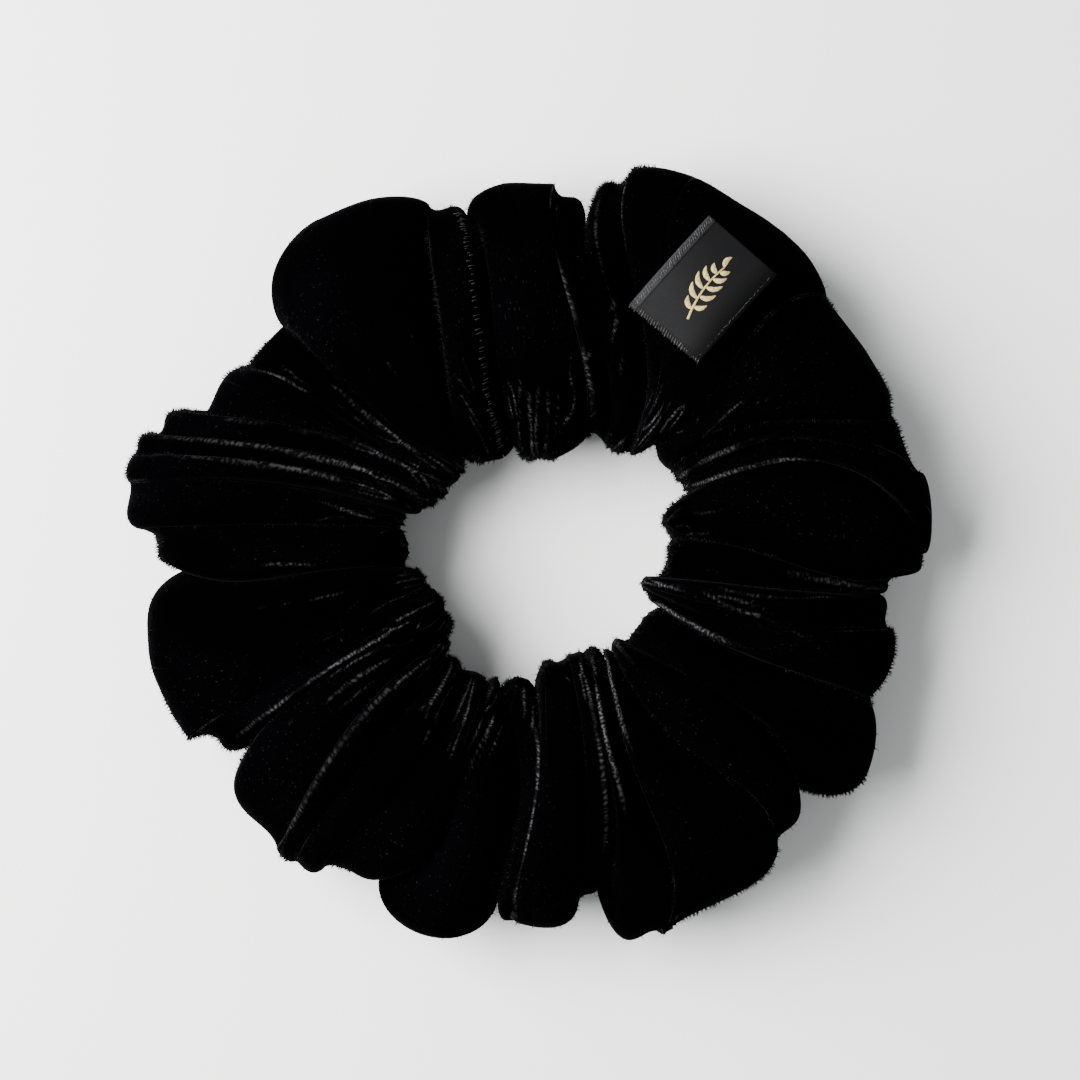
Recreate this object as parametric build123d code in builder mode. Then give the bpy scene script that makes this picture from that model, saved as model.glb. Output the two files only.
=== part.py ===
from build123d import *
import os
from math import cos, degrees, radians, sin

# A velvet scrunchie: a flat velvet tube gathered onto a ring of elastic, with a woven label on its
# largest gather. It lies flat, +Z up. Angles go anticlockwise from +X about the ring's own axis.

# Driving dimensions, in millimetres and degrees
RING_X, RING_Y = 0.69, 0.43
HEIGHT = 26.0
WALL = 1.5
BODY_GAP = 0.5
FLAT_SINK = 0.5
ROUNDNESS = 0.88

ELASTIC_RADIUS = 26.0
ELASTIC_WIDTH = 6.0
ELASTIC_THICK = 1.0
ELASTIC_OVERLAP = 12.0
ELASTIC_JOIN_ANGLE = 272.4

SEAM_FLAP_RADIUS = 24.6
SEAM_FLAP_THICK = 1.2
THREAD = 0.4
SEAM_STITCH_LENGTH = 2.2
SEAM_STITCH_PITCH = 3.2
SEAM_STITCH_RADIUS = 23.6

CLOSING_ANGLE = 104.0
HEM_HEIGHT = 22.0

LABEL_ANGLE = 57.0
LABEL_RADIUS = 44.5
LABEL_LENGTH, LABEL_WIDTH = 16.5, 12.5
LABEL_TURN = 48.0
LABEL_GAP = 0.2
LABEL_THICK = 0.5
MOTIF_THICK = 0.2

# The gathers, anticlockwise: the fold before, the fold after, the crest's outer and inner radius, its height
GATHERS = {
    "gather_01": (80.7, 101.3, 53.2, 14.4, 24.0),
    "gather_02": (106.7, 137.0, 57.0, 14.2, 26.0),
    "gather_03": (137.0, 157.2, 50.2, 16.6, 23.0),
    "gather_04": (157.2, 180.8, 58.2, 18.2, 25.0),
    "gather_05": (180.8, 212.8, 56.4, 17.4, 26.0),
    "gather_06": (212.8, 244.6, 55.6, 17.4, 25.0),
    "gather_07": (244.6, 264.3, 55.9, 19.4, 24.0),
    "gather_08": (264.3, 280.5, 52.8, 17.0, 24.0),
    "gather_09": (280.5, 319.1, 57.2, 16.4, 26.0),
    "gather_10": (319.1, 336.5, 57.0, 18.0, 24.0),
    "gather_11": (336.5, 354.5, 53.6, 17.0, 23.0),
    "gather_12": (354.5, 398.0, 57.8, 20.8, 25.0),
    "gather_13": (38.0, 80.7, 58.6, 17.6, 26.0),
}

# The folds between them: the outer and inner radius where the cloth dips, and its height there
FOLDS = {
    80.7: (47.5, 18.6, 19.0),
    101.3: (49.2, 15.6, HEM_HEIGHT),
    106.7: (49.2, 15.6, HEM_HEIGHT),
    137.0: (48.7, 17.4, 19.0),
    157.2: (51.0, 18.5, 19.0),
    180.8: (49.6, 18.2, 18.0),
    212.8: (47.5, 16.4, 19.0),
    244.6: (51.0, 19.4, 19.0),
    264.3: (50.2, 20.3, 18.0),
    280.5: (47.0, 17.0, 18.0),
    319.1: (46.7, 18.0, 18.0),
    336.5: (52.0, 18.5, 19.0),
    354.5: (50.9, 19.1, 18.0),
    38.0: (56.0, 21.4, 22.0),
}


def around(radius, angle):
    """The point at this radius and angle about the ring's axis."""
    return (RING_X + radius * cos(radians(angle)), RING_Y + radius * sin(radians(angle)))


def section_plane(angle, outer, inner, height):
    """The upright plane that cuts the tube across at this angle, centred in the tube."""
    x, y = around((outer + inner) / 2, angle)
    turn = radians(angle)
    return Plane(
        origin=(x, y, height / 2 - FLAT_SINK),
        x_dir=(cos(turn), sin(turn), 0),
        z_dir=(-sin(turn), cos(turn), 0),
    )


def tube(sections, grow):
    """A loft through round-sided sections of the tube, each grown outwards by this much."""
    with BuildPart() as body:
        for angle, outer, inner, height in sections:
            with BuildSketch(section_plane(angle, outer, inner, height)):
                half_height = height / 2 + grow
                RectangleRounded(outer - inner + 2 * grow, 2 * half_height, ROUNDNESS * half_height)
        loft()
    return body.part


def gather_sections(name):
    """A gather's sections: its first fold, its crest and its last fold, half a gap inside the folds."""
    first, last, outer, inner, height = GATHERS[name]
    gap = degrees(BODY_GAP / (outer + inner))
    return [
        (first + gap, *FOLDS[first % 360]),
        ((first + last) / 2, outer, inner, height),
        (last - gap, *FOLDS[last % 360]),
    ]


def shell(outside, inside, flap_radius):
    """The cloth between two lofts, flat where it rests, with its seam's two edges turned inwards as a flap."""
    flap_height = HEIGHT / 2 - FLAT_SINK - SEAM_FLAP_THICK
    with BuildPart() as flap:
        add(outside)
        with BuildSketch(Plane.XY.offset(flap_height)):
            with Locations((RING_X, RING_Y)):
                Circle(flap_radius)
        extrude(amount=SEAM_FLAP_THICK, mode=Mode.INTERSECT)
    with BuildPart() as cloth:
        add(outside)
        add(inside, mode=Mode.SUBTRACT)
        add(flap.part)
        split(bisect_by=Plane.XY, keep=Keep.TOP)
    return cloth.part


def write(part, name):
    """Writes one piece as a STEP file, named as its node."""
    part.label = name
    export_step(part, f"parts/{name}.step")


os.makedirs("parts", exist_ok=True)

# The velvet cover: one hollow shell for each gather
for name in GATHERS:
    sections = gather_sections(name)
    write(shell(tube(sections, 0), tube(sections, -WALL), SEAM_FLAP_RADIUS), f"velvet_{name}")

# The two ends of the cover, turned in as hems, that meet at the closing seam
hem_gap = degrees(BODY_GAP / 2 / (FOLDS[101.3][0] + FOLDS[101.3][1]))
hem_edges = {
    "closing_hem_right": (101.3 + 2 * hem_gap, CLOSING_ANGLE - hem_gap),
    "closing_hem_left": (CLOSING_ANGLE + hem_gap, 106.7 - 2 * hem_gap),
}
for name, (first, last) in hem_edges.items():
    hem_sections = [(first, *FOLDS[101.3]), (last, *FOLDS[101.3])]
    write(shell(tube(hem_sections, 0), tube(hem_sections, -WALL), SEAM_FLAP_RADIUS), name)

# The closing seam's thread: a ladder of short stitches from one hem to the other, along the top of the tube
closing_outer, closing_inner, closing_height = FOLDS[101.3]
STITCH_STANDS = 0.1
CLOSING_STITCHES = 9
CLOSING_PITCH = 1.6
closing_middle = around((closing_outer + closing_inner) / 2, CLOSING_ANGLE)
with BuildPart() as closing_stitches:
    with BuildSketch(Plane.XY.offset(closing_height - FLAT_SINK + STITCH_STANDS)):
        with Locations(Location(closing_middle, CLOSING_ANGLE)):
            with GridLocations(CLOSING_PITCH, 1, CLOSING_STITCHES, 1):
                SlotOverall(SEAM_STITCH_LENGTH, THREAD, rotation=90)
    extrude(amount=THREAD)
write(closing_stitches.part, "closing_seam_thread")

# The long seam's thread: a row of stitches on each gather's turned-in flap
flap_top = HEIGHT / 2 - FLAT_SINK
SEAM_END_MARGIN = 1.5
clear = degrees((SEAM_STITCH_LENGTH / 2 + SEAM_END_MARGIN - BODY_GAP) / SEAM_STITCH_RADIUS)
for name, (first, last, _, _, _) in GATHERS.items():
    row_start = first + clear
    row_sweep = last - first - 2 * clear
    count = round(radians(row_sweep) * SEAM_STITCH_RADIUS / SEAM_STITCH_PITCH) + 1
    with BuildPart() as seam_thread:
        for step in range(count):
            angle = row_start + row_sweep * step / (count - 1)
            x, y = around(SEAM_STITCH_RADIUS, angle)
            with BuildSketch(Plane.XY.offset(flap_top)):
                with Locations(Location((x, y), angle + 90)):
                    SlotOverall(SEAM_STITCH_LENGTH, THREAD)
            extrude(amount=THREAD)
    write(seam_thread.part, f"seam_thread_{name[-2:]}")

# The elastic: one flat braid bent to a ring, its last stretch lying on the outside of its first
overlap = degrees(ELASTIC_OVERLAP / ELASTIC_RADIUS)
lap_inside = ELASTIC_RADIUS + ELASTIC_THICK / 2
lap_outside = lap_inside + ELASTIC_THICK
lap_start = ELASTIC_JOIN_ANGLE - overlap / 2
lap_end = ELASTIC_JOIN_ANGLE + overlap / 2
with BuildPart() as elastic:
    with BuildSketch(Plane.XY.offset(HEIGHT / 2 - FLAT_SINK - ELASTIC_WIDTH / 2)):
        with Locations((RING_X, RING_Y)):
            Circle(lap_inside)
            Circle(ELASTIC_RADIUS - ELASTIC_THICK / 2, mode=Mode.SUBTRACT)
        with BuildLine():
            CenterArc((RING_X, RING_Y), lap_outside, lap_start, overlap)
            Line(around(lap_outside, lap_end), around(ELASTIC_RADIUS, lap_end))
            CenterArc((RING_X, RING_Y), ELASTIC_RADIUS, lap_start, overlap)
            Line(around(ELASTIC_RADIUS, lap_start), around(lap_outside, lap_start))
        make_face()
    extrude(amount=ELASTIC_WIDTH)
write(elastic.part, "elastic_band")

# The thread that joins the elastic's two ends: three stitches across each end of the overlap
JOIN_ROW_SHARE = 0.3
JOIN_STITCH_LENGTH = 4.5
JOIN_STITCH_PITCH = 1.1
JOIN_STITCH_LEAN = 12
with BuildPart() as join_thread:
    for side in (-1, 1):
        angle = ELASTIC_JOIN_ANGLE + side * overlap * JOIN_ROW_SHARE
        x, y = around(lap_outside, angle)
        turn = radians(angle)
        face = Plane(
            origin=(x, y, HEIGHT / 2 - FLAT_SINK),
            x_dir=(-sin(turn), cos(turn), 0),
            z_dir=(cos(turn), sin(turn), 0),
        )
        with BuildSketch(face):
            for place in (-JOIN_STITCH_PITCH, 0, JOIN_STITCH_PITCH):
                with Locations(Location((place, 0), JOIN_STITCH_LEAN)):
                    SlotOverall(JOIN_STITCH_LENGTH, THREAD, rotation=90)
        extrude(amount=THREAD)
write(join_thread.part, "elastic_join_thread")

# The label: satin that follows the top of its gather, cut as a rectangle
label_host = gather_sections("gather_13")
label_x, label_y = around(LABEL_RADIUS, LABEL_ANGLE)
label_plane = Plane(
    origin=(label_x, label_y, HEIGHT / 2),
    x_dir=(cos(radians(LABEL_TURN)), sin(radians(LABEL_TURN)), 0),
    z_dir=(0, 0, 1),
)


def on_label(shape, low, high):
    """A layer over the label's gather between two heights above the velvet, cut to this flat shape."""
    under = tube(label_host, low)
    over = tube(label_host, high)
    with BuildPart() as layer:
        add(over)
        add(under, mode=Mode.SUBTRACT)
        with BuildSketch(label_plane):
            add(shape)
        extrude(amount=HEIGHT, mode=Mode.INTERSECT)
    return layer.part


with BuildSketch() as label_outline:
    Rectangle(LABEL_LENGTH, LABEL_WIDTH)
label_top = LABEL_GAP + LABEL_THICK
write(on_label(label_outline.sketch, LABEL_GAP, label_top), "satin_label")

# The two rows of thread that hold the label's ends
STITCH_ROW_INSET = 0.9
LABEL_STITCHES = 9
LABEL_STITCH_LENGTH = 1.1
for name, side in (("label_thread_outer", 1), ("label_thread_inner", -1)):
    with BuildSketch() as row:
        with Locations((0, side * (LABEL_WIDTH / 2 - STITCH_ROW_INSET))):
            with GridLocations(LABEL_LENGTH / LABEL_STITCHES, 1, LABEL_STITCHES, 1):
                Rectangle(LABEL_STITCH_LENGTH, THREAD)
    write(on_label(row.sketch, label_top, label_top + MOTIF_THICK), name)

# The label's motif: a leafy sprig in gold thread
STEM_LENGTH = 7.6
STEM_TIP_LEAF = 4.2
LEAF_LENGTH, LEAF_WIDTH = 2.2, 0.9
LEAF_PLACES = (-1.5, 0.2, 1.9)
LEAF_OFFSET = 1.1
LEAF_SPREAD = 50
with BuildSketch() as sprig:
    Rectangle(STEM_LENGTH, THREAD)
    for place in LEAF_PLACES:
        for side in (-1, 1):
            with Locations(Location((place, side * LEAF_OFFSET), side * LEAF_SPREAD)):
                Ellipse(LEAF_LENGTH / 2, LEAF_WIDTH / 2)
    with Locations((STEM_TIP_LEAF, 0)):
        Ellipse(LEAF_LENGTH / 2, LEAF_WIDTH / 2)
write(on_label(sprig.sketch, label_top, label_top + MOTIF_THICK), "label_motif")
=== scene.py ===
import math

import bpy
import numpy as np
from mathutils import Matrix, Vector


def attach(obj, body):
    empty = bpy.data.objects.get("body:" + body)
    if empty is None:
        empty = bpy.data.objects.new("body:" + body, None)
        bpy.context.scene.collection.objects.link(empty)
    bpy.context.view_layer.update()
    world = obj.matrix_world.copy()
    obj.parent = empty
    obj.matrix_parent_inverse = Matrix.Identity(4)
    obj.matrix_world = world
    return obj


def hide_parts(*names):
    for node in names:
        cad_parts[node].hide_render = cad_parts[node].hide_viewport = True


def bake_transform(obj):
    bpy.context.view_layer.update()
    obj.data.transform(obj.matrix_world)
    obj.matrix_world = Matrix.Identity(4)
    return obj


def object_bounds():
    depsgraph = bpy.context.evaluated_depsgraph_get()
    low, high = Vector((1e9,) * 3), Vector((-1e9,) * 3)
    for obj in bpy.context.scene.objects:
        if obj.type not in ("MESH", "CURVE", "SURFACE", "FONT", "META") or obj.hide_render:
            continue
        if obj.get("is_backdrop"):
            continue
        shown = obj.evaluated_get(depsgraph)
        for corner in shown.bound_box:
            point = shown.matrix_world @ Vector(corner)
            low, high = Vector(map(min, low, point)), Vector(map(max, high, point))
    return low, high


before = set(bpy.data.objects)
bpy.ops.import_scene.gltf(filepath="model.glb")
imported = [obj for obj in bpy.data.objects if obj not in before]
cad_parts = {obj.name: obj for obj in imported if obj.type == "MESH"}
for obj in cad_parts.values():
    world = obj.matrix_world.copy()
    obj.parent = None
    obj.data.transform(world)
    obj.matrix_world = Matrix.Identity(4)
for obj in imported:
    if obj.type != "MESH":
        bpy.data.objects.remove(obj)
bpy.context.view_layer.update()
MM = 0.001

# ---------------------------------------------------------------------------------------------
# The velvet cover. A strip of black velvet is sewn into a flat tube and pushed along the elastic
# until it stands in gathers. It is one cloth; here it is cut at the tops of its gathers into
# pieces that each run from one gather to the next.

# The ring's axis in the CAD frame, in millimetres
RING_X, RING_Y = 0.69, 0.43
TUBE_MIDDLE_Z = 11.5
FLAT_TUBE_WIDTH, TUBE_LENGTH = 40.0, 500.0
AROUND_TUBE = 264
# columns of points per gather, from its width at the middle of the tube
MIDDLE_RADIUS, COLUMN_SPACING, FEWEST_COLUMNS, SPARE_COLUMNS = 37, 0.26, 16, 12
# the powers that make the tube's section fuller than an ellipse, and each gather rounder than a sine
SECTION_WIDE, SECTION_TALL = 0.88, 0.82
ARCH_POWER, BOW_POWER = 0.7, 1.2
# unevenness in mm: broad and small dents, coarse and fine creases
BROAD_DENT, SMALL_DENT, COARSE_CREASE, FINE_CREASE = 0.7, 0.35, 0.42, 0.26
# The cover rests on the table, flattened over this much height
FLOOR_GAP, FLOOR_SOFTNESS = 0.55, 0.8
# The label's place, where the cloth lies smooth
LABEL_ANGLE, LABEL_RADIUS = 57.1, 43.1
LABEL_X = RING_X + LABEL_RADIUS * math.cos(math.radians(LABEL_ANGLE))
LABEL_Y = RING_Y + LABEL_RADIUS * math.sin(math.radians(LABEL_ANGLE))
# how far from the label's middle the cloth stays smooth, and over what distance it turns uneven
CALM_REACH, CALM_FADE = 8, 5

# Each fold, anticlockwise, and the gather of cloth that follows it:
#   the fold's angle at the hole, at one third, at two thirds and at the outer edge,
#   its radius at the hole and at the outer edge, how deep it cuts at the hole and at the edge,
#   the following gather's radius at the hole and at the outer edge, its lean in mm, its height
FOLDS = [
    (57.0, 69.0, 78.0, 80.7, 19.4, 46.6, 0.45, 0.62, 18.8, 51.0, 0.9, 22.5),
    (65.0, 77.0, 85.0, 86.5, 18.0, 52.8, 0.35, 0.14, 13.0, 53.6, 1.2, 24.5),
    (99.0, 100.0, 98.8, 101.0, 16.8, 49.4, 0.50, 0.50, 13.6, 51.2, 0.3, 22.5),
    (127.0, 115.0, 110.0, 106.5, 17.2, 52.4, 0.50, 0.45, 15.0, 57.0, 2.4, 26.0),
    (131.5, 138.5, 138.0, 137.8, 16.2, 48.7, 0.50, 0.56, 15.2, 48.9, -0.6, 22.0),
    (138.0, 144.5, 145.0, 147.0, 16.3, 48.6, 0.35, 0.10, 16.0, 50.7, 0.8, 22.5),
    (143.0, 148.5, 154.5, 157.3, 16.0, 51.4, 0.45, 0.50, 15.4, 56.2, -1.4, 24.0),
    (150.0, 154.5, 159.5, 162.5, 16.6, 57.0, 0.40, 0.14, 16.0, 58.9, -0.8, 24.5),
    (156.0, 159.0, 163.0, 166.0, 16.9, 58.6, 0.30, 0.10, 16.8, 59.5, -0.8, 25.0),
    (163.0, 164.0, 167.0, 170.0, 19.6, 58.8, 0.40, 0.14, 18.4, 58.4, 0.9, 25.0),
    (169.0, 172.5, 174.8, 176.5, 18.9, 56.2, 0.40, 0.06, 18.0, 53.2, 1.0, 24.0),
    (186.0, 184.5, 185.5, 182.2, 18.8, 47.4, 0.40, 0.60, 15.6, 56.4, 1.6, 26.0),
    (199.0, 204.0, 206.5, 208.5, 14.7, 55.2, 0.45, 0.14, 13.6, 51.8, 1.2, 24.5),
    (211.0, 209.0, 210.5, 214.6, 14.2, 46.9, 0.50, 0.60, 13.9, 55.2, -1.0, 25.0),
    (224.0, 222.5, 226.0, 229.0, 16.3, 55.6, 0.50, 0.16, 16.6, 56.0, -1.0, 24.0),
    (229.5, 231.0, 231.0, 232.5, 19.6, 55.2, 0.45, 0.12, 18.2, 55.4, 0.8, 24.0),
    (239.5, 242.0, 238.0, 236.5, 18.7, 53.8, 0.45, 0.16, 18.0, 52.4, 1.2, 24.0),
    (251.0, 251.0, 253.0, 244.6, 20.2, 50.6, 0.35, 0.60, 18.6, 56.8, -1.2, 23.0),
    (257.0, 266.5, 265.5, 264.3, 20.4, 49.6, 0.50, 0.52, 17.8, 52.2, 0.8, 21.0),
    (270.8, 272.0, 268.8, 267.5, 19.0, 52.3, 0.50, 0.22, 15.0, 53.0, -1.0, 24.0),
    (289.5, 285.0, 281.0, 277.0, 14.5, 50.6, 0.30, 0.06, 14.6, 48.8, 0.8, 24.5),
    (297.0, 291.0, 287.0, 280.8, 15.5, 48.6, 0.32, 0.62, 15.6, 56.9, -1.2, 25.0),
    (304.5, 296.0, 294.5, 289.0, 19.0, 57.8, 0.45, 0.12, 17.2, 56.6, -1.4, 26.0),
    (309.0, 307.0, 311.5, 309.0, 18.2, 54.8, 0.35, 0.06, 17.0, 53.6, 1.0, 25.0),
    (317.0, 323.0, 324.0, 317.8, 18.8, 46.8, 0.50, 0.60, 17.8, 57.4, -2.0, 24.0),
    (337.0, 335.0, 336.0, 336.5, 19.6, 52.6, 0.50, 0.42, 17.4, 54.0, -1.0, 23.0),
    (342.0, 341.0, 345.0, 348.0, 17.6, 52.5, 0.30, 0.10, 16.0, 51.4, 1.0, 23.0),
    (349.5, 351.0, 352.0, 353.3, 18.6, 50.0, 0.50, 0.50, 18.4, 51.2, 0.6, 22.0),
    (366.0, 361.0, 356.0, 356.3, 19.6, 51.2, 0.40, 0.30, 18.0, 56.0, 0.8, 22.0),
    (381.0, 382.0, 375.0, 360.0, 24.6, 56.7, 0.50, 0.42, 23.0, 57.7, -1.8, 24.0),
    (385.0, 386.5, 380.0, 371.5, 23.8, 56.8, 0.30, 0.10, 22.6, 55.4, -0.9, 24.5),
    (389.5, 391.0, 384.8, 381.0, 23.4, 54.3, 0.40, 0.10, 22.0, 55.6, -1.0, 25.0),
    (402.0, 402.0, 405.0, 401.0, 22.6, 55.6, 0.25, 0.08, 19.4, 58.5, 0.4, 26.0),
    (407.0, 421.0, 433.0, 435.0, 20.4, 56.2, 0.45, 0.10, 19.0, 53.8, 1.2, 24.0),
]


def round_noise(across, along, cells_across, cells_along, seed):
    """Smooth noise from -1 to 1: random values on a lattice that closes on itself both ways, joined by
    an S-curve. across and along run from 0 to 1 once round."""
    lattice = np.random.default_rng(seed).uniform(-1, 1, (cells_across, cells_along))
    a, b = across * cells_across, along * cells_along
    a_low, b_low = np.floor(a), np.floor(b)
    s, t = a - a_low, b - b_low
    s, t = s * s * (3 - 2 * s), t * t * (3 - 2 * t)
    i, j = a_low.astype(int) % cells_across, b_low.astype(int) % cells_along
    i_next, j_next = (i + 1) % cells_across, (j + 1) % cells_along
    low = lattice[i, j] * (1 - s) + lattice[i_next, j] * s
    high = lattice[i, j_next] * (1 - s) + lattice[i_next, j_next] * s
    return low * (1 - t) + high * t


def normals_of(points):
    """Unit normals of a surface that closes both ways: the cross product of its central differences."""
    along = np.roll(points, -1, 1) - np.roll(points, 1, 1)
    across = np.roll(points, -1, 0) - np.roll(points, 1, 0)
    normal = np.cross(along, across)
    return normal / np.maximum(np.linalg.norm(normal, axis=2, keepdims=True), 1e-9)


def bulge(points, normals, reach):
    """How sharply the surface turns outwards across its folds, in 1/mm: the normal part of the second
    difference between columns this many apart, over their distance squared."""
    before, after = np.roll(points, reach, 0), np.roll(points, -reach, 0)
    bend = ((before + after - 2 * points) * normals).sum(2)
    length = (np.linalg.norm(before - points, axis=2) + np.linalg.norm(after - points, axis=2)) / 2
    return -bend / np.maximum(length, 0.05) ** 2


def gathered_tube():
    """The whole cover as a grid of points, in mm. Columns run round the ring, fold by fold, and rows round
    the tube. Between two folds the column's angle follows a cosine and its rise a sine, so each gather is
    a round arch, and it leans over its neighbour. The tube's section is a superellipse."""
    table = np.array(FOLDS)
    following = np.vstack([table[1:], table[:1]])
    following[-1, :4] += 360
    widths = np.radians((following - table)[:, :4].mean(1)) * MIDDLE_RADIUS
    counts = np.maximum(FEWEST_COLUMNS, np.round(widths / COLUMN_SPACING).astype(int) + SPARE_COLUMNS)
    fold = np.repeat(np.arange(len(table)), counts)
    s = np.concatenate([np.arange(n) / n for n in counts])
    share = (1 - np.cos(np.pi * s)) / 2
    rise = np.sin(np.pi * s) ** ARCH_POWER
    v = np.arange(AROUND_TUBE) / AROUND_TUBE * 2 * np.pi
    side, up = np.cos(v), np.sin(v)
    side = np.sign(side) * np.abs(side) ** SECTION_WIDE
    up = np.sign(up) * np.abs(up) ** SECTION_TALL
    rho = (1 - side) / 2

    # the fold's angle: on top a cubic through its four stations, underneath a straight line
    stations = np.array([0, 1 / 3, 2 / 3, 1])
    weights = np.array([
        np.prod([(rho - stations[m]) / (stations[k] - stations[m]) for m in range(4) if m != k], axis=0)
        for k in range(4)
    ])
    straight = np.array([1 - rho, 0 * rho, 0 * rho, rho])
    weights = np.where(up >= 0, weights, straight)
    here, there = table[fold], following[fold]
    blend = share[:, None]
    angle = (1 - blend) * (here[:, :4] @ weights) + blend * (there[:, :4] @ weights)

    def between(column):
        return (1 - share) * here[:, column] + share * there[:, column]

    arch, bow = rise[:, None], np.sin(np.pi * s) ** BOW_POWER
    hole = ((1 - bow) * between(4) + bow * here[:, 8])[:, None]
    rim = ((1 - bow) * between(5) + bow * here[:, 9])[:, None]
    depth = (1 - arch) * (between(6)[:, None] * (1 - rho) + between(7)[:, None] * rho)
    tall = ((1 - share) * here[:, 11] + share * there[:, 11])[:, None]
    radius = hole + (rim - hole) * rho
    # the gather leans most at its top and not at all at the tube's two edges
    lean = here[:, 10:11] * arch ** 1.5 * np.clip(5 * rho * (1 - rho), 0, 1)
    angle = angle + np.degrees(lean / radius)
    top = TUBE_MIDDLE_Z + (tall - TUBE_MIDDLE_Z) * (1 - depth) * np.maximum(up, 0)
    bottom = TUBE_MIDDLE_Z * (1 - 0.5 * depth) * np.minimum(up, 0)
    turn = np.radians(angle)
    points = np.dstack([RING_X + radius * np.cos(turn), RING_Y + radius * np.sin(turn), top + bottom])

    # unevenness: broad dents, then long creases that gather towards the elastic, none under the label
    ring_share = np.broadcast_to((turn / (2 * np.pi)) % 1, angle.shape)
    tube_share = np.broadcast_to(v / (2 * np.pi), angle.shape)
    near_hole = np.clip(1.15 - rho, 0, 1) ** 1.5
    label_away = np.hypot(points[:, :, 0] - LABEL_X, points[:, :, 1] - LABEL_Y)
    calm = np.clip((label_away - CALM_REACH) / CALM_FADE, 0, 1)
    dents = BROAD_DENT * round_noise(ring_share, tube_share, 26, 7, 11)
    dents = dents + SMALL_DENT * round_noise(ring_share, tube_share, 60, 12, 12) * calm
    drift = 0.012 * round_noise(ring_share, tube_share, 18, 9, 13)
    coarse = (1 - np.abs(round_noise(ring_share + drift, tube_share, 64, 9, 14))) ** 6
    fine = (1 - np.abs(round_noise(ring_share + drift, tube_share, 150, 14, 15))) ** 6
    gate = np.clip(0.35 + 1.5 * round_noise(ring_share, tube_share, 30, 8, 16), 0, 1) * calm
    creases = (COARSE_CREASE * coarse + FINE_CREASE * fine * (0.3 + near_hole)) * gate
    swell = dents - 0.25 + creases * (0.6 + 0.6 * near_hole) * np.clip(4.5 * (1.08 - rho), 0, 1)
    # out of the tube's section, because the folds' own normals turn back on themselves
    outwards = np.dstack([-side * np.cos(turn), -side * np.sin(turn), up + 0 * turn])
    outwards = outwards / np.linalg.norm(outwards, axis=2, keepdims=True)
    points = points + outwards * swell[:, :, None]
    sunk = FLOOR_GAP * np.exp((points[:, :, 2] - FLOOR_GAP) / FLOOR_SOFTNESS)
    points[:, :, 2] = np.where(points[:, :, 2] < FLOOR_GAP, sunk, points[:, :, 2])
    return points, angle


cover, cover_angle = gathered_tube()
cover_normals = normals_of(cover)
# 0 where the cloth turns outwards less sharply than this, in 1/mm, rising to 1 over this range
CREST_START, CREST_RANGE = 0.75, 1.5
crest = np.clip((bulge(cover, cover_normals, 2) - CREST_START) / CREST_RANGE, 0, 1)
columns, rows = cover.shape[:2]


class Value:
    """A shader socket in an expression: each operator adds one Math node."""

    def __init__(self, shader, socket):
        self.shader, self.socket = shader, socket

    def maths(self, operation, first, second):
        return self.shader.node("ShaderNodeMath", {"operation": operation}, {0: first, 1: second})

    def __add__(self, other):
        return self.maths("ADD", self, other)

    def __radd__(self, other):
        return self.maths("ADD", other, self)

    def __sub__(self, other):
        return self.maths("SUBTRACT", self, other)

    def __rsub__(self, other):
        return self.maths("SUBTRACT", other, self)

    def __mul__(self, other):
        return self.maths("MULTIPLY", self, other)

    def __rmul__(self, other):
        return self.maths("MULTIPLY", other, self)

    def __pow__(self, other):
        return self.maths("POWER", self, other)

    def above(self, edge, softness):
        """0 below the edge, 1 above it, with a soft step."""
        return self.shader.node("ShaderNodeMapRange", {"interpolation_type": "SMOOTHSTEP"},
                                {"Value": self, "From Min": edge - softness, "From Max": edge + softness})


class Shader:
    """A new material's node tree."""

    def __init__(self, name):
        self.material = bpy.data.materials.new(name)
        self.material.use_nodes = True
        self.tree = self.material.node_tree
        self.tree.nodes.clear()

    def node(self, kind, settings=None, inputs=None, output=0):
        """One node: its settings first, then the values or links of its sockets."""
        made = self.tree.nodes.new(kind)
        for name, value in (settings or {}).items():
            setattr(made, name, value)
        for name, value in (inputs or {}).items():
            if isinstance(value, Value):
                self.tree.links.new(value.socket, made.inputs[name])
            else:
                made.inputs[name].default_value = value
        return Value(self, made.outputs[output])

    def mix(self, factor, first, second):
        """Two colours mixed."""
        made = self.tree.nodes.new("ShaderNodeMix")
        made.data_type = "RGBA"
        for socket, value in ((made.inputs[0], factor), (made.inputs[6], first), (made.inputs[7], second)):
            if isinstance(value, Value):
                self.tree.links.new(value.socket, socket)
            else:
                socket.default_value = value
        return Value(self, made.outputs[2])

    def finish(self, surface):
        """Links the surface to the material's output."""
        out = self.tree.nodes.new("ShaderNodeOutputMaterial")
        self.tree.links.new(surface.socket, out.inputs["Surface"])
        return self.material


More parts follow.
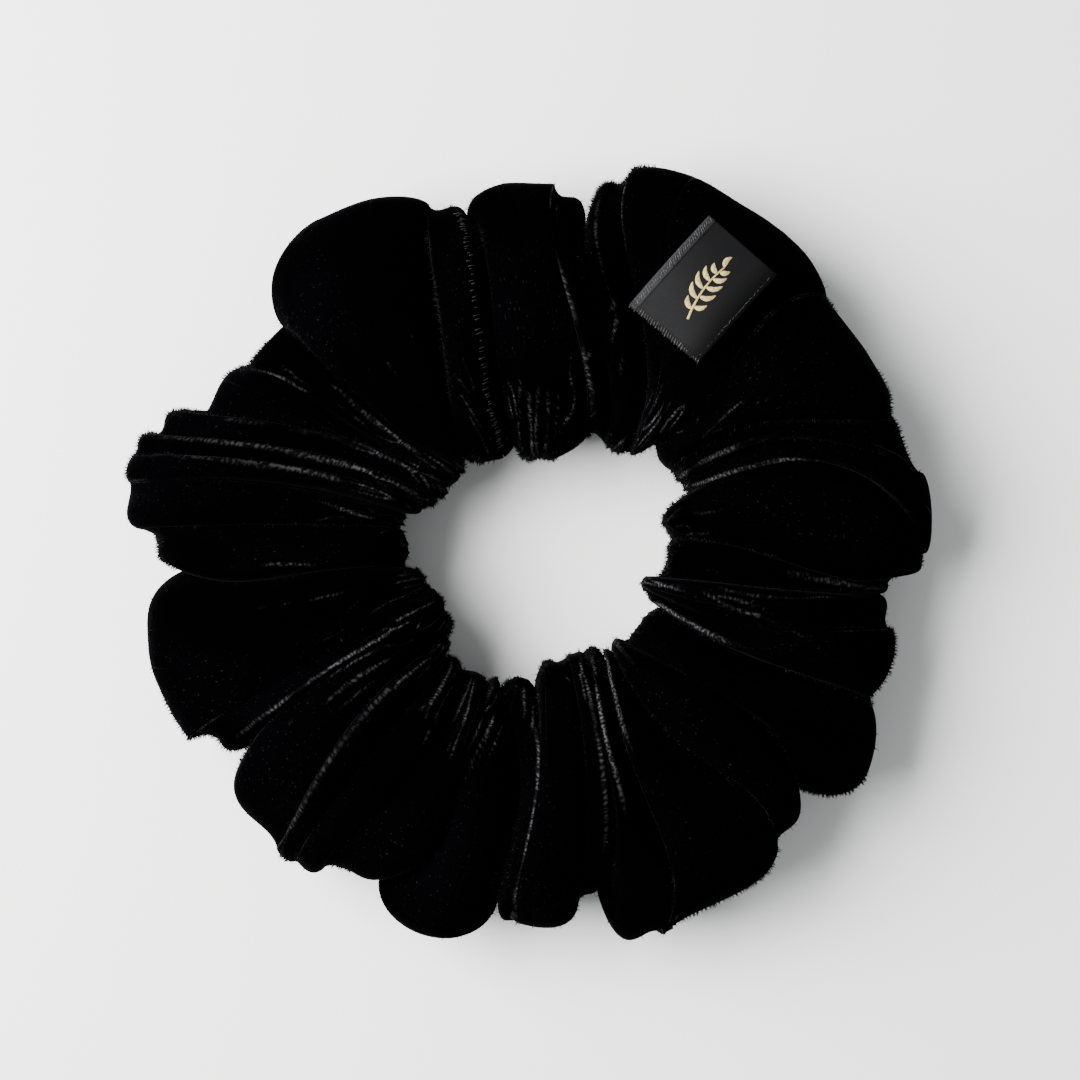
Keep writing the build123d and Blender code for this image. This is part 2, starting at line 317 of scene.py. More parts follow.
def velvet_material():
    """Black velvet: a matte pile with its lit fibres painted in: a painted sheen where it is seen along the
    cloth, painted highlight strokes across each sharp fold where the pile parts, and a few dim painted
    glints."""
    shader = Shader("black_velvet")
    uv = shader.node("ShaderNodeUVMap", {"uv_map": "cloth"})
    folded = shader.node("ShaderNodeAttribute", {"attribute_name": "crest"}, output=2)
    facing = shader.node("ShaderNodeLayerWeight", None, {"Blend": 0.5}, output=1)
    long_way = shader.node("ShaderNodeVectorMath", {"operation": "MULTIPLY"},
                           {0: uv, 1: (700.0, 3600.0, 1.0)})
    strokes = shader.node("ShaderNodeTexNoise", None, {"Vector": long_way, "Scale": 1.0, "Detail": 1.0})
    grain = shader.node("ShaderNodeTexNoise", None, {"Vector": uv, "Scale": 2600.0, "Detail": 2.0})
    patches = shader.node("ShaderNodeTexNoise", None, {"Vector": uv, "Scale": 190.0, "Detail": 3.0})
    broad = shader.node("ShaderNodeTexNoise", None, {"Vector": uv, "Scale": 60.0, "Detail": 2.0})
    # painted highlight: short bright strokes on the sharp folds, from the crest attribute, where the pile
    # parts
    painted_crest_highlight = folded * (strokes.above(0.54, 0.10) * patches.above(0.49, 0.10)
                       + patches.above(0.44, 0.12) * 0.10)
    # painted sheen: the pile's colour is lightened where the cloth is seen edge-on, and in a thin line at its
    # outline
    painted_edge_sheen = facing ** 7.0 * strokes.above(0.52, 0.10) * patches.above(0.50, 0.14) * 0.5
    painted_outline_sheen = facing ** 16.0 * (1.0 - patches.above(0.47, 0.06)) * 0.8
    # painted glints: a few dim specks of lit fibre, from fine noise
    painted_glints = grain.above(0.69, 0.03) * broad.above(0.52, 0.08) * 0.12
    colour = shader.mix(broad.above(0.5, 0.2), (0.0001, 0.0001, 0.00013, 1), (0.00035, 0.00034, 0.00048, 1))
    # the lit pile's colour, painted wherever the painted highlights, sheen and glints fall
    colour = shader.mix(painted_crest_highlight + painted_edge_sheen + painted_outline_sheen + painted_glints, colour, (0.042, 0.042, 0.0435, 1))
    bump = shader.node("ShaderNodeBump", None, {"Strength": 0.5, "Distance": 0.0002, "Height": grain})
    surface = shader.node("ShaderNodeBsdfPrincipled", None, {
        "Base Color": colour, "Roughness": 1.0, "Specular IOR Level": 0.0, "Normal": bump,
        "Sheen Weight": 0.004, "Sheen Roughness": 0.3, "Sheen Tint": (0.90, 0.90, 1.0, 1),
    })
    return shader.finish(surface)


velvet = velvet_material()


def grid_faces(across, along, closed):
    """The four-cornered faces of a grid of points, facing outwards; closed joins the last row to the
    first."""
    i, j = np.meshgrid(np.arange(across - 1), np.arange(along if closed else along - 1), indexing="ij")
    next_row = (j + 1) % along
    here, there = i * along, (i + 1) * along
    quads = np.stack([here + j, here + next_row, there + next_row, there + j], -1)
    return quads.reshape(-1, 4)


def mesh_object(name, points, faces, material, uv=None, **attributes):
    """A mesh from points in mm and faces, with an optional UV at each point and float attributes."""
    mesh = bpy.data.meshes.new(name)
    mesh.from_pydata((points.reshape(-1, 3) * MM).tolist(), [], faces)
    mesh.materials.append(material)
    mesh.polygons.foreach_set("use_smooth", [True] * len(mesh.polygons))
    for key, values in attributes.items():
        attribute = mesh.attributes.new(key, "FLOAT", "POINT")
        attribute.data.foreach_set("value", values.astype(np.float32).ravel())
    if uv is not None:
        corners = np.empty(len(mesh.loops), np.int32)
        mesh.loops.foreach_get("vertex_index", corners)
        at_corners = uv.reshape(-1, 2)[corners].astype(np.float32)
        mesh.uv_layers.new(name="cloth").data.foreach_set("uv", at_corners.ravel())
    mesh.update()
    made = bpy.data.objects.new(name, mesh)
    bpy.context.scene.collection.objects.link(made)
    return made


# The gathers' own bodies, in the order that they stand round the ring from the closing seam, and the
# angle at which one piece of the cover ends and the next begins: on top of each gather
SEAM_ANGLE = 104.0
CENTRES = [
    ("seam_left", SEAM_ANGLE), ("gather_02", 122.0), ("gather_03", 147.0), ("gather_04", 168.5),
    ("gather_05", 197.0), ("gather_06", 226.0), ("gather_07", 256.0), ("gather_08", 272.5),
    ("gather_09", 300.0), ("gather_10", 330.0), ("gather_11", 346.0), ("gather_12", 376.0),
    ("gather_13", 419.0), ("gather_01", 452.5), ("seam_right", SEAM_ANGLE + 360),
]
PAIRS = list(zip(CENTRES[:-1], CENTRES[1:]))
# Next to the label, bend_between moves a piece's end this far away from it, in mm
LABEL_KEEPS = 8.0


def bend_between(piece, first, last, body_a, body_b):
    """Finds the level direction in which a piece's first and last edges, in mm, stand furthest apart, by
    trying every two degrees, and where each edge ends along it; then bakes the piece's transform into its
    mesh."""
    turns = np.radians(np.arange(0, 360, 2))
    ways = np.stack([np.cos(turns), np.sin(turns), 0 * turns])
    low, high = (first @ ways).max(0), (last @ ways).min(0)
    best = int(np.argmax(high - low))
    way, low, high = ways[:, best], float(low[best]), float(high[best])
    if body_a == "gather_13":
        low += LABEL_KEEPS
    if body_b == "gather_13":
        high -= LABEL_KEEPS
    middle = (first.mean(0) + last.mean(0)) / 2
    base = middle - way * (middle @ way)
    tuple((base + way * low) * MM)
    tuple((base + way * high) * MM)
    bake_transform(piece)


# One tuft's length and half width, how far its foot strays and sinks in the cloth, in mm, and its lean
TUFT_LENGTH, TUFT_WIDTH = (0.25, 0.75), (0.05, 0.09)
TUFT_STRAY, TUFT_SINK, TUFT_LEAN = 0.08, 0.12, 0.35


def pile_tufts(points, normals, uv, weights, count, seed):
    """Loose ends of pile: thin closed three-sided spikes that stand on the cloth at random places, more of
    them where the weights are larger. Each leans at random."""
    rng = np.random.default_rng(seed)
    chance = (weights / weights.sum()).ravel()
    at = rng.choice(chance.size, count, p=chance)
    foot = points.reshape(-1, 3)[at] + rng.normal(0, TUFT_STRAY, (count, 3))
    outwards = normals.reshape(-1, 3)[at] + rng.normal(0, TUFT_LEAN, (count, 3))
    outwards = outwards / np.linalg.norm(outwards, axis=1, keepdims=True)
    side = np.cross(outwards, rng.normal(0, 1, (count, 3)))
    side = side / np.linalg.norm(side, axis=1, keepdims=True)
    other = np.cross(outwards, side)
    length = rng.uniform(*TUFT_LENGTH, (count, 1))
    width = rng.uniform(*TUFT_WIDTH, (count, 1))
    corners = [foot + width * (math.cos(t) * side + math.sin(t) * other) - TUFT_SINK * outwards
               for t in (0, 2 * math.pi / 3, 4 * math.pi / 3)]
    spikes = np.stack(corners + [foot + length * outwards], 1)
    first = np.arange(count)[:, None] * 4
    faces = np.stack([first + f for f in ((0, 2, 1), (0, 1, 3), (1, 2, 3), (2, 0, 3))], 1).reshape(-1, 3)
    return spikes.reshape(-1, 3), faces, np.repeat(uv.reshape(-1, 2)[at], 4, 0)


# where each piece starts, as a place in the order of columns from the closing seam
middle_angle = cover_angle[:, : AROUND_TUBE // 2].mean(1)
seam_column = int(np.argmin(np.abs(middle_angle - SEAM_ANGLE)))
order = (np.arange(columns) + seam_column) % columns
past_start = np.arange(columns) + seam_column >= columns
angles_in_order = middle_angle[order] + np.where(past_start, 360, 0)
cuts = [int(np.argmin(np.abs(angles_in_order - angle))) for _, angle in CENTRES[:-1]] + [columns]
order = np.append(order, order[0])
ordered = cover[order]
across_strip = np.diff(ordered, axis=0)
down_strip = np.roll(ordered, -1, 1)[:-1] - ordered[:-1]
strip_areas = np.linalg.norm(np.cross(across_strip, down_strip), axis=2).sum(1)
# the cloth's length used up so far, shared out by area
cover_length = np.concatenate([[0], strip_areas.cumsum()]) * TUBE_LENGTH / strip_areas.sum()

TUFTS_PER_MM = 50
# no loose pile shows below this height, on the table's side
PILE_LOWEST = 5
CLOTH_THICK = 0.9
SEAM_GROOVE = 0.12
# each piece of the cover with its flat size and its pile
cover_sheets = []
for index, ((body_a, _), (body_b, _)) in enumerate(PAIRS):
    span = slice(cuts[index], cuts[index + 1] + 1)
    picked = order[span]
    points, across = cover[picked], len(picked)
    # at the closing seam the two ends butt with a fine groove between them
    if body_a == "seam_left":
        points[0] += SEAM_GROOVE * (points[3] - points[0])
    if body_b == "seam_right":
        points[-1] += SEAM_GROOVE * (points[-4] - points[-1])
    length = cover_length[span]
    uv = np.dstack([
        np.broadcast_to(length[:, None], (across, rows)),
        np.broadcast_to(np.arange(rows) / rows * 2 * FLAT_TUBE_WIDTH, (across, rows)),
    ]) * MM
    piece = mesh_object(f"velvet_cover_{index + 1:02d}", points, grid_faces(across, rows, True).tolist(),
                        velvet, uv, crest=crest[picked])
    thickness = piece.modifiers.new("cloth", "SOLIDIFY")
    thickness.thickness = CLOTH_THICK * MM
    thickness.offset = -1
    thickness.use_rim = True
    bend_between(piece, points[0], points[-1], body_a, body_b)
    nodes = {"seam_left": "closing_hem_left", "seam_right": "closing_hem_right"}
    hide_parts(*[nodes.get(body, f"velvet_{body}") for body in (body_a, body_b)])
    flat = (2 * FLAT_TUBE_WIDTH * MM, float(length[-1] - length[0]) * MM)

    # the loose pile on its walls and its sharp folds
    weights = np.clip(1 - np.abs(cover_normals[picked][:, :, 2]) / 0.55, 0, 1) + 0.35 * crest[picked]
    patchy = round_noise(np.broadcast_to(order[span][:, None] / columns, weights.shape),
                         np.broadcast_to(np.arange(rows) / rows, weights.shape), 90, 6, 31)
    weights = weights * (points[:, :, 2] > PILE_LOWEST) * np.clip(2.4 * patchy - 0.2, 0.03, 1)
    count = int(TUFTS_PER_MM * (length[-1] - length[0]))
    spikes, faces, spike_uv = pile_tufts(points, cover_normals[picked], uv, weights, count, 40 + index)
    # the tufts carry a quarter of the painted crest highlight through their crest attribute
    pile = mesh_object(f"velvet_pile_{index + 1:02d}", spikes, faces.tolist(), velvet, spike_uv,
                       crest=np.full(len(spikes), 0.25))
    bend_between(pile, points[0], points[-1], body_a, body_b)
    cover_sheets.append((piece, flat, pile))

# ---------------------------------------------------------------------------------------------
# The woven label: a small patch of charcoal satin with a hem turned along its upper left edge and a
# woven edge beside it, laid on the largest gather and sewn down. Its sprig is gold thread, sewn on.

LABEL_LENGTH, LABEL_WIDTH, LABEL_TURN = 16.5, 12.5, 48.0
LABEL_THICK, LABEL_CLEAR = 0.32, 0.16
HEM_WIDTH = 1.25


def skin(rings):
    """A closed bar from its cross-sections, an array of sections by corners by 3: the sides between
    neighbouring sections, and a cap on each end, facing outwards."""
    sections, around, _ = rings.shape
    i, j = np.meshgrid(np.arange(sections - 1), np.arange(around), indexing="ij")
    k = (j + 1) % around
    sides = np.stack([i * around + j, i * around + k, (i + 1) * around + k, (i + 1) * around + j], -1)
    caps = [list(range(around))[::-1], list(range((sections - 1) * around, sections * around))]
    middle = rings[0].mean(0)
    spin = np.cross(rings[0] - middle, np.roll(rings[0], -1, 0) - middle).sum(0)
    faces = sides.reshape(-1, 4).tolist() + caps
    if spin @ (rings[1].mean(0) - middle) < 0:
        faces = [face[::-1] for face in faces]
    return rings.reshape(-1, 3), faces


def thread(path, radius, up=(0, 0, 1), corners=6, flatten=1.0):
    """A thread along a path in mm, as skin() makes it. radius is one value or one at each point, and
    flatten is its height over its width."""
    path = np.asarray(path, float)
    way = np.gradient(path, axis=0)
    way = way / np.linalg.norm(way, axis=1, keepdims=True)
    side = np.cross(way, up)
    side = side / np.maximum(np.linalg.norm(side, axis=1, keepdims=True), 1e-6)
    rise = np.cross(side, way)
    t = np.arange(corners) / corners * 2 * np.pi
    reach = np.broadcast_to(radius, len(path))[:, None, None]
    ring = np.cos(t)[:, None] * side[:, None] + flatten * np.sin(t)[:, None] * rise[:, None]
    return skin(path[:, None] + reach * ring)


def joined(parts):
    """Several (points, faces) as one."""
    starts = np.cumsum([0] + [len(points) for points, _ in parts])
    faces = [[corner + int(start) for corner in face]
             for start, (_, part) in zip(starts, parts) for face in part]
    return np.vstack([points for points, _ in parts]), faces


label_way = np.array([math.cos(math.radians(LABEL_TURN)), math.sin(math.radians(LABEL_TURN))])
label_side = np.array([-label_way[1], label_way[0]])

# the cloth under the label: the cover's upper side, a little past the label's edges
UPPER_SIDE_Z, UPPER_SIDE_TILT, PAST_LABEL = 15, 0.35, 0.6
top = cover.reshape(-1, 3)
top = top[(cover_normals[:, :, 2].ravel() > UPPER_SIDE_TILT) & (top[:, 2] > UPPER_SIDE_Z)]
flat_place = top[:, :2] - (LABEL_X, LABEL_Y)
a, b = flat_place @ label_way, flat_place @ label_side
near = (np.abs(a) < LABEL_LENGTH / 2 + PAST_LABEL) & (np.abs(b) < LABEL_WIDTH / 2 + PAST_LABEL)


def label_terms(a, b):
    """The terms of the label's surface: every product of powers of a and b up to the third."""
    return np.stack([a ** m * b ** n for m in range(4) for n in range(4 - m)], -1)


# the label's surface is the best fit to that cloth, lifted clear of its highest point
label_fit, *_ = np.linalg.lstsq(label_terms(a[near], b[near]), top[near, 2], rcond=None)
label_lift = float((top[near, 2] - label_terms(a[near], b[near]) @ label_fit).max())


def on_label(a, b, above):
    """Points on the label in mm from its place across it, and this high above its upper face."""
    z = label_terms(a, b) @ label_fit + label_lift + LABEL_CLEAR + LABEL_THICK + above
    level = (LABEL_X, LABEL_Y) + a[..., None] * label_way + b[..., None] * label_side
    return np.concatenate([level, z[..., None]], -1)


def label_material():
    """Charcoal satin: fine ribs across the label, a turned hem along one edge, a woven edge, and painted
    shade along its lower edge.
    """
    shader = Shader("label_satin")
    uv = shader.node("ShaderNodeUVMap", {"uv_map": "cloth"})
    along = shader.node("ShaderNodeSeparateXYZ", None, {"Vector": uv})
    across = shader.node("ShaderNodeSeparateXYZ", None, {"Vector": uv}, output=1)
    ribs = shader.node("ShaderNodeTexWave", {"wave_type": "BANDS", "bands_direction": "X"},
                       {"Vector": uv, "Scale": 1250.0, "Distortion": 1.0, "Detail": 1.0})
    picks = shader.node("ShaderNodeTexWave", {"wave_type": "BANDS", "bands_direction": "Y"},
                        {"Vector": uv, "Scale": 700.0, "Distortion": 2.0, "Detail": 1.0})
    cloudy = shader.node("ShaderNodeTexNoise", None, {"Vector": uv, "Scale": 300.0, "Detail": 3.0})
    hem = across.above((LABEL_WIDTH - HEM_WIDTH) * MM, 0.00012)
    woven_edge = 1.0 - along.above(0.0009, 0.00015)
    colour = shader.mix(ribs * 0.5 + cloudy * 0.5, (0.0030, 0.0030, 0.0032, 1), (0.0060, 0.0060, 0.0064, 1))
    colour = shader.mix(hem * (0.35 + picks * 0.3), colour, (0.026, 0.026, 0.027, 1))
    colour = shader.mix(woven_edge * ribs * picks, colour, (0.001, 0.001, 0.001, 1))
    # painted shade: the lower edge turns to the velvet's black, where the label sinks into the shadow of its
    # fold
    colour = shader.mix(across.above(0.0018, 0.0022), (0.0004, 0.0004, 0.0005, 1), colour)
    relief = ribs * (0.4 + hem * 0.6) + picks * 0.5 * woven_edge + hem * 1.5
    bump = shader.node("ShaderNodeBump", None, {"Strength": 0.5, "Distance": 0.00012, "Height": relief})
    surface = shader.node("ShaderNodeBsdfPrincipled", None, {
        "Base Color": colour, "Roughness": 0.6, "Specular IOR Level": 0.04, "Normal": bump,
        "Sheen Weight": 0.004, "Sheen Roughness": 0.4,
    })
    return shader.finish(surface)


def thread_material(name, dark, light, roughness):
    """Spun thread: two tones along its strands, and a fine twist."""
    shader = Shader(name)
    place = shader.node("ShaderNodeTexCoord", output=3)
    twist = shader.node("ShaderNodeTexNoise", None, {"Vector": place, "Scale": 3200.0, "Detail": 2.0})
    colour = shader.mix(twist.above(0.5, 0.2), (*dark, 1), (*light, 1))
    bump = shader.node("ShaderNodeBump", None, {"Strength": 0.5, "Distance": 0.0001, "Height": twist})
    surface = shader.node("ShaderNodeBsdfPrincipled", None, {
        "Base Color": colour, "Roughness": roughness, "Specular IOR Level": 0.15, "Normal": bump,
    })
    return shader.finish(surface)


LABEL_COLUMNS, LABEL_ROWS = 67, 51
a, b = np.meshgrid(np.linspace(0, 1, LABEL_COLUMNS), np.linspace(0, 1, LABEL_ROWS), indexing="ij")
label_uv = np.dstack([a * LABEL_LENGTH, b * LABEL_WIDTH]) * MM
wavy = 0.10 * np.sin(b * 9.0) * (1 - a) ** 3 + 0.12 * np.sin(a * 7.0 + 1.0) * (1 - b) ** 4
a, b = (a - 0.5) * LABEL_LENGTH, (b - 0.5) * LABEL_WIDTH
HEM_RISE, HEM_STEP = 0.16, 0.2
hem_rise = HEM_RISE * np.clip((b - (LABEL_WIDTH / 2 - HEM_WIDTH)) / HEM_STEP, 0, 1)
label = mesh_object("woven_label", on_label(a, b, hem_rise + np.maximum(wavy, -0.05)),
                    grid_faces(LABEL_COLUMNS, LABEL_ROWS, False)[:, ::-1].tolist(),
                    label_material(), label_uv)
label_thickness = label.modifiers.new("cloth", "SOLIDIFY")
label_thickness.thickness = LABEL_THICK * MM
label_thickness.offset = -1
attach(label, "gather_13")
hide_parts("satin_label")

# The label's two rows of thread: slanted overcast stitches on the hem, and running ones on the far edge
label_thread = thread_material("label_thread", (0.005, 0.005, 0.0052), (0.055, 0.055, 0.056), 0.7)
dark_thread = thread_material("dark_thread", (0.006, 0.006, 0.007), (0.022, 0.022, 0.024), 0.7)
HEM_STITCHES, EDGE_STITCHES = 40, 22
HEM_ROW, EDGE_ROW = LABEL_WIDTH / 2 - HEM_WIDTH / 2, 0.55 - LABEL_WIDTH / 2
for name, node, count, edge, slant, reach, material in (
    ("label_hem_stitches", "label_thread_outer", HEM_STITCHES, HEM_ROW, 0.26, 0.42, label_thread),
    ("label_edge_stitches", "label_thread_inner", EDGE_STITCHES, EDGE_ROW, 0.34, 0.0, dark_thread),
):
    rng = np.random.default_rng(len(name))
    stitches = []
    lift = 0.22 if reach else 0.06
    for place in (np.arange(count) + 0.5) / count - 0.5:
        middle = place * (LABEL_LENGTH - 0.3) + rng.normal(0, 0.03)
        run = np.linspace(-1, 1, 5)
        path = on_label(middle + run * (slant + rng.normal(0, 0.06)),
                        edge + run * (reach + rng.normal(0, 0.08)),
                        lift + rng.normal(0, 0.03) - 0.10 * run ** 2)
        stitches.append(thread(path, rng.uniform(0.05, 0.08), corners=5))
    stitched = mesh_object(name, *joined(stitches), material)
    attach(stitched, "gather_13")
    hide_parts(node)

# The woven edge's loops, along the label's short lower left edge
rng = np.random.default_rng(23)
loops = []
EDGE_LOOPS = 30
for place in (np.arange(EDGE_LOOPS) + 0.5) / EDGE_LOOPS - 0.5:
    run = np.linspace(-1, 1, 5)
    reach = rng.uniform(0.25, 0.5)
    path = on_label(0.35 - LABEL_LENGTH / 2 + run * reach,
                    place * LABEL_WIDTH + run * rng.uniform(0.05, 0.2), 0.10 - 0.12 * run ** 2)
    loops.append(thread(path, rng.uniform(0.05, 0.085), corners=5))
edge_loops = mesh_object("label_edge_loops", *joined(loops), label_thread)
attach(edge_loops, "gather_13")

# The sprig: a curved stem with leaves in pairs, in satin stitch
gold = thread_material("gold_thread", (0.22, 0.16, 0.06), (0.42, 0.33, 0.155), 0.45)


def stem_at(t):
    """The stem's line across the label, for t from 0 at its foot to 1 at its tip: a shallow curve."""
    return -4.6 + 8.6 * t, -1.2 + 3.4 * t - 2.4 * t * t


def leaf(t, turn, length, width):
    """One leaf from the stem at t, turned this many degrees from the label's long side: a flat spindle."""
    foot_a, foot_b = stem_at(t)
    along = np.linspace(0, 1, 11)
    bend = 0.18 * length * np.sin(np.pi * along) * np.sign(turn)
    c, d = math.cos(math.radians(turn)), math.sin(math.radians(turn))
    path = on_label(foot_a + along * length * c - bend * d, foot_b + along * length * d + bend * c, 0.05)
    return thread(path, 0.04 + width * np.sin(np.pi * along ** 0.85) ** 0.9, corners=8, flatten=0.3)


along = np.linspace(0, 1, 40)
sprig = [thread(on_label(*stem_at(along), 0.06), 0.12 + 0.07 * (1 - along), corners=8, flatten=0.8)]
for t, length in ((0.16, 2.0), (0.34, 2.5), (0.52, 2.6), (0.69, 2.2), (0.85, 1.6)):
    sprig += [leaf(t, 56, length, 0.36), leaf(t + 0.05, -46, length * 0.92, 0.34)]
sprig.append(leaf(1.0, 4, 1.9, 0.36))
motif = mesh_object("gold_sprig", *joined(sprig), gold)
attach(motif, "gather_13")
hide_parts("label_motif")

# ---------------------------------------------------------------------------------------------
# The closing seam: the tube's two ends are turned in, butted and drawn together by hand with a ladder
# of short black stitches, which show as a column of fine strokes over the top of the ring.

CLOSING_STITCHES = 62
# the row runs over the top, between these shares of the way round the tube from the hole
ROW_START, ROW_END = 0.06, 0.44
rng = np.random.default_rng(5)
seam_rows = np.linspace(AROUND_TUBE * ROW_START, AROUND_TUBE * ROW_END, CLOSING_STITCHES)
closing = []
for row in seam_rows:
    row = int(round(row))
    middle = cover[seam_column, row]
    before, after = cover[seam_column - 3, row], cover[(seam_column + 3) % columns, row]
    way = (after - before) / np.linalg.norm(after - before)
    lift = cover_normals[seam_column, row]
    half = rng.uniform(0.25, 0.70)
    run = np.linspace(-1, 1, 5)[:, None]
    above = rng.uniform(0.02, 0.10) - 0.14 * run ** 2
    path = middle + rng.normal(0, 0.15) * way + run * half * way + above * lift
    closing.append(thread(path, rng.uniform(0.05, 0.08), up=lift, corners=5))
closing_thread = thread_material("closing_thread", (0.003, 0.003, 0.003), (0.024, 0.024, 0.025), 0.7)
closing_seam = mesh_object("closing_seam_stitches", *joined(closing), closing_thread)
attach(closing_seam, "seam_right")
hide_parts("closing_seam_thread")

# ---------------------------------------------------------------------------------------------
# Inside the tube: the braided elastic, and the long seam, whose two raw edges are turned inwards
# along the hole and held by a row of machine stitches. Each is cut in step with the cover.

ELASTIC_RADIUS, ELASTIC_WIDTH, ELASTIC_THICK = 26.0, 6.0, 1.0
ELASTIC_LOW = 9.5
SEAM_FLAP_THICK, SEAM_FLAP_TOP = 1.2, 12.5
CLOTH_AND_AIR = 1.5
# the seam allowance ends short of the elastic, and gives it this much room
ELASTIC_ROOM, FLAP_SHORT = 1.6, 0.35
STITCH_PITCH, STITCH_LENGTH, STITCH_RADIUS = 3.2, 2.2, 0.17
# the cut at the closing seam, in degrees on each side
END_GAP = 0.25


def elastic_material():
    """Braided elastic: fine ribs along it, crossed by the braid's slant."""
    shader = Shader("braided_elastic")
    place = shader.node("ShaderNodeTexCoord", output=3)
    ribs = shader.node("ShaderNodeTexWave", {"wave_type": "BANDS", "bands_direction": "Z"}, {
        "Vector": place, "Scale": 450.0, "Distortion": 2.0, "Detail": 2.0, "Detail Scale": 6.0,
    })
    weave = shader.node("ShaderNodeTexNoise", None, {"Vector": place, "Scale": 1500.0, "Detail": 2.0})
    colour = shader.mix(ribs * 0.6 + weave * 0.4, (0.008, 0.008, 0.008, 1), (0.035, 0.035, 0.036, 1))
    relief = ribs + weave * 0.5
    bump = shader.node("ShaderNodeBump", None, {"Strength": 0.8, "Distance": 0.0002, "Height": relief})
    surface = shader.node("ShaderNodeBsdfPrincipled", None, {
        "Base Color": colour, "Roughness": 0.7, "Specular IOR Level": 0.3, "Normal": bump,
    })
    return shader.finish(surface)


def hole_radius(angle):
    """The cover's radius at the hole for these angles in degrees, from its innermost row of points."""
    inner = cover[:, 0, :2] - (RING_X, RING_Y)
    turns = np.degrees(np.arctan2(inner[:, 1], inner[:, 0])) % 360
    radii = np.hypot(inner[:, 0], inner[:, 1])
    bins = np.array([radii[np.abs((turns - a + 180) % 360 - 180) < 3].max() for a in np.asarray(angle) % 360])
    return np.convolve(np.pad(bins, 2, mode="edge"), np.ones(5) / 5, mode="valid")


def level_ring(radius, turn, z):
    """Points at these radii and angles, in mm and radians, at one height."""
    return np.stack([RING_X + radius * np.cos(turn), RING_Y + radius * np.sin(turn), 0 * turn + z], -1)


elastic_look = elastic_material()
for index, ((body_a, angle_a), (body_b, angle_b)) in enumerate(PAIRS):
    first = angle_a + (END_GAP if body_a == "seam_left" else 0)
    last = angle_b - (END_GAP if body_b == "seam_right" else 0)
    degrees = np.linspace(first, last, max(5, int(angle_b - angle_a) + 1))
    turn = np.radians(degrees)
    hole = hole_radius(degrees)
    middle = np.maximum(ELASTIC_RADIUS, hole + CLOTH_AND_AIR + ELASTIC_ROOM)
    inside, outside = middle - ELASTIC_THICK / 2, middle + ELASTIC_THICK / 2
    high = ELASTIC_LOW + ELASTIC_WIDTH
    rings = np.stack([level_ring(inside, turn, ELASTIC_LOW), level_ring(outside, turn, ELASTIC_LOW),
                      level_ring(outside, turn, high), level_ring(inside, turn, high)], 1)
    elastic = mesh_object(f"elastic_{index + 1:02d}", *skin(rings), elastic_look)
    bend_between(elastic, rings[0], rings[-1], body_a, body_b)
    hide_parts("elastic_band")

    flap_in, flap_out = hole + CLOTH_AND_AIR - 0.5, inside - FLAP_SHORT
    low = SEAM_FLAP_TOP - SEAM_FLAP_THICK
    flap_rings = np.stack([
        level_ring(flap_in, turn, low), level_ring(flap_out, turn, low),
        level_ring(flap_out, turn, SEAM_FLAP_TOP), level_ring(flap_in, turn, SEAM_FLAP_TOP),
    ], 1)
    arc = math.radians(angle_b - angle_a) * float(flap_out.mean() + flap_in.mean()) / 2
    flap_uv = np.broadcast_to(np.arange(4) * 0.002, (len(turn), 4))
    flap_uv = np.dstack([np.broadcast_to(turn[:, None] * 0.02, (len(turn), 4)), flap_uv])
    flap = mesh_object(f"seam_allowance_{index + 1:02d}", *skin(flap_rings), velvet, flap_uv,
                       crest=np.zeros(len(turn) * 4))
    bend_between(flap, rings[0], rings[-1], body_a, body_b)

    stitches = []
    count = max(1, round(arc / STITCH_PITCH))
    for share in (np.arange(count) + 0.5) / count:
        at = math.radians(angle_a + share * (angle_b - angle_a))
        r = float(np.interp(share, np.linspace(0, 1, len(turn)), (flap_in + flap_out) / 2))
        run = np.linspace(-1, 1, 5)
        half = min(STITCH_LENGTH, 0.7 * arc / count) / 2
        path = level_ring(r + 0 * run, at + run * half / r, SEAM_FLAP_TOP + 0.12)
        path = path - np.outer(0.14 * run ** 2, (0, 0, 1))
        stitches.append(thread(path, STITCH_RADIUS, corners=6))
    row = mesh_object(f"seam_stitches_{index + 1:02d}", *joined(stitches), dark_thread)
    bend_between(row, rings[0], rings[-1], body_a, body_b)
    seam_nodes = [f"seam_thread_{body[-2:]}" for body in (body_a, body_b) if body.startswith("gather")]
    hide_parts(*seam_nodes)

    piece, flat, pile = cover_sheets[index]
    sewn = [pile, flap, row] + ([closing_seam] if body_b == "seam_right" else [])

# The CAD's stitches across the elastic's lap stay, in spun thread
for slot in bpy.data.objects["elastic_join_thread"].material_slots:
    slot.material = dark_thread

# ---------------------------------------------------------------------------------------------
# The floor, the light and the camera: a pale sheet on a table, soft light from the upper left, and
# a camera straight above the ring.


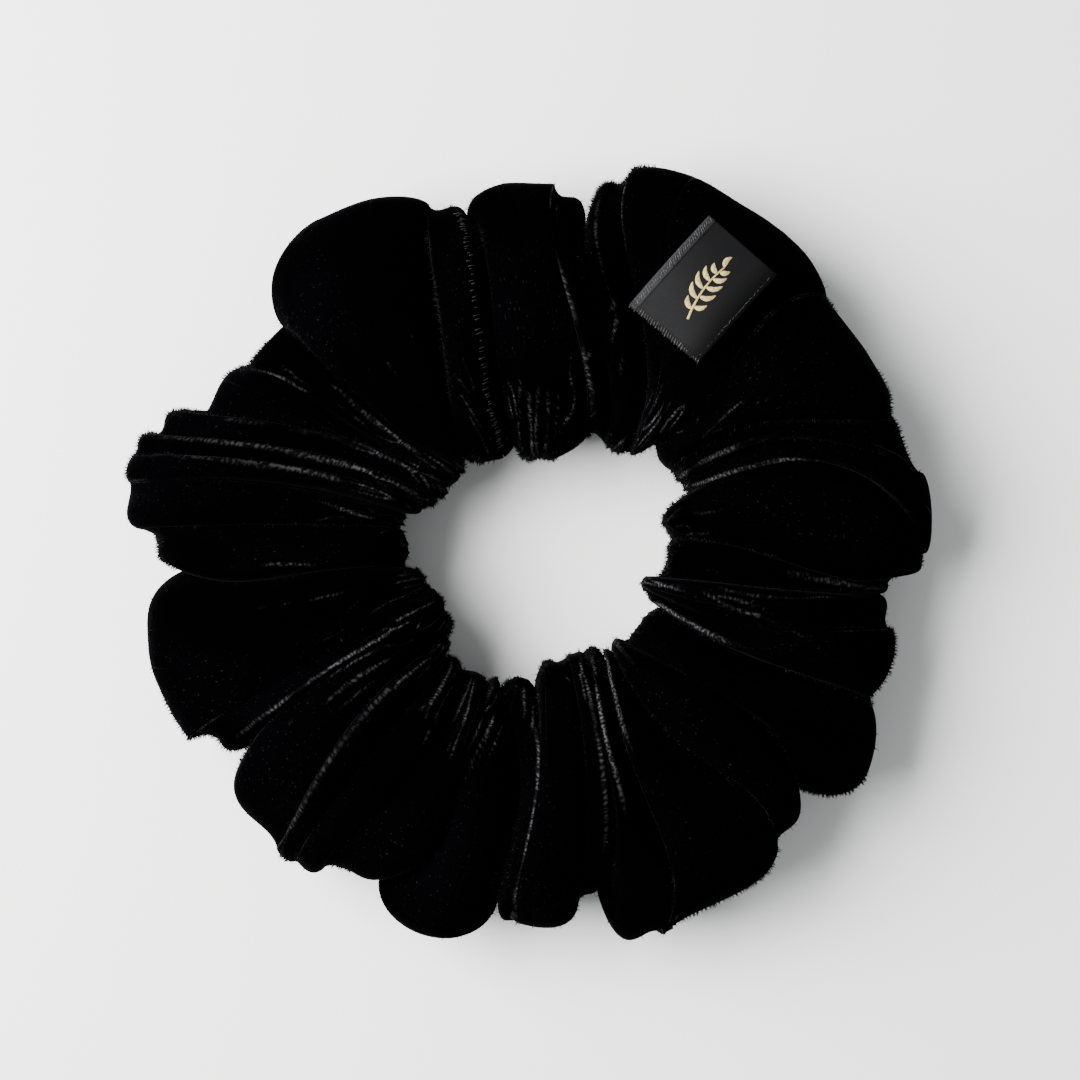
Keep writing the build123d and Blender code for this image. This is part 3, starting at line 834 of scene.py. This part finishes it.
def plain_material(name, colour, roughness):
    """One even colour with a faint unevenness."""
    shader = Shader(name)
    place = shader.node("ShaderNodeTexCoord", output=3)
    grain = shader.node("ShaderNodeTexNoise", None, {"Vector": place, "Scale": 40.0, "Detail": 3.0})
    tone = shader.mix(grain, (*[c * 0.985 for c in colour], 1), (*colour, 1))
    surface = shader.node("ShaderNodeBsdfPrincipled", None, {
        "Base Color": tone, "Roughness": roughness, "Specular IOR Level": 0.2,
    })
    return shader.finish(surface)


# half the floor's side, in metres
FLOOR_HALF = 1.2
floor_corners = [(x * FLOOR_HALF, y * FLOOR_HALF, 0) for x, y in ((-1, -1), (1, -1), (1, 1), (-1, 1))]
floor_mesh = bpy.data.meshes.new("floor")
floor_mesh.from_pydata(floor_corners, [], [(0, 1, 2, 3)])
floor = bpy.data.objects.new("floor", floor_mesh)
bpy.context.scene.collection.objects.link(floor)
floor_mesh.materials.append(plain_material("pale_table", (0.80, 0.81, 0.79), 0.6))
floor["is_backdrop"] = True

world = bpy.data.worlds.new("room")
bpy.context.scene.world = world
world.use_nodes = True
background = world.node_tree.nodes["Background"]
background.inputs["Color"].default_value = (0.95, 0.97, 1.0, 1)
background.inputs["Strength"].default_value = 0.62


def soft_light(name, place, target, size, power):
    """A square lamp at one point that faces another."""
    lamp = bpy.data.lights.new(name, "AREA")
    lamp.size = size
    lamp.energy = power
    made = bpy.data.objects.new(name, lamp)
    made.location = place
    away = np.array(place, float) - np.array(target, float)
    made.rotation_euler = (math.acos(away[2] / np.linalg.norm(away)), 0, math.atan2(away[0], -away[1]))
    bpy.context.scene.collection.objects.link(made)


WINDOW_PLACE, WINDOW_SIZE, WINDOW_POWER = (-0.34, 0.07, 0.35), 0.40, 15.5
soft_light("window", WINDOW_PLACE, (0, 0, 0), WINDOW_SIZE, WINDOW_POWER)

# The camera looks straight down from over this place, in mm, and sees this width at the tube's middle
CAMERA_X, CAMERA_Y = 1.75, 2.30
FIELD = 153.9
LENS, SENSOR = 85.0, 36.0
camera_data = bpy.data.cameras.new("camera")
camera_data.lens = LENS
camera_data.sensor_width = SENSOR
camera = bpy.data.objects.new("camera", camera_data)
camera.location = (CAMERA_X * MM, CAMERA_Y * MM, (TUBE_MIDDLE_Z + FIELD * LENS / SENSOR) * MM)
bpy.context.scene.collection.objects.link(camera)
bpy.context.scene.camera = camera

low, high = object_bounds()
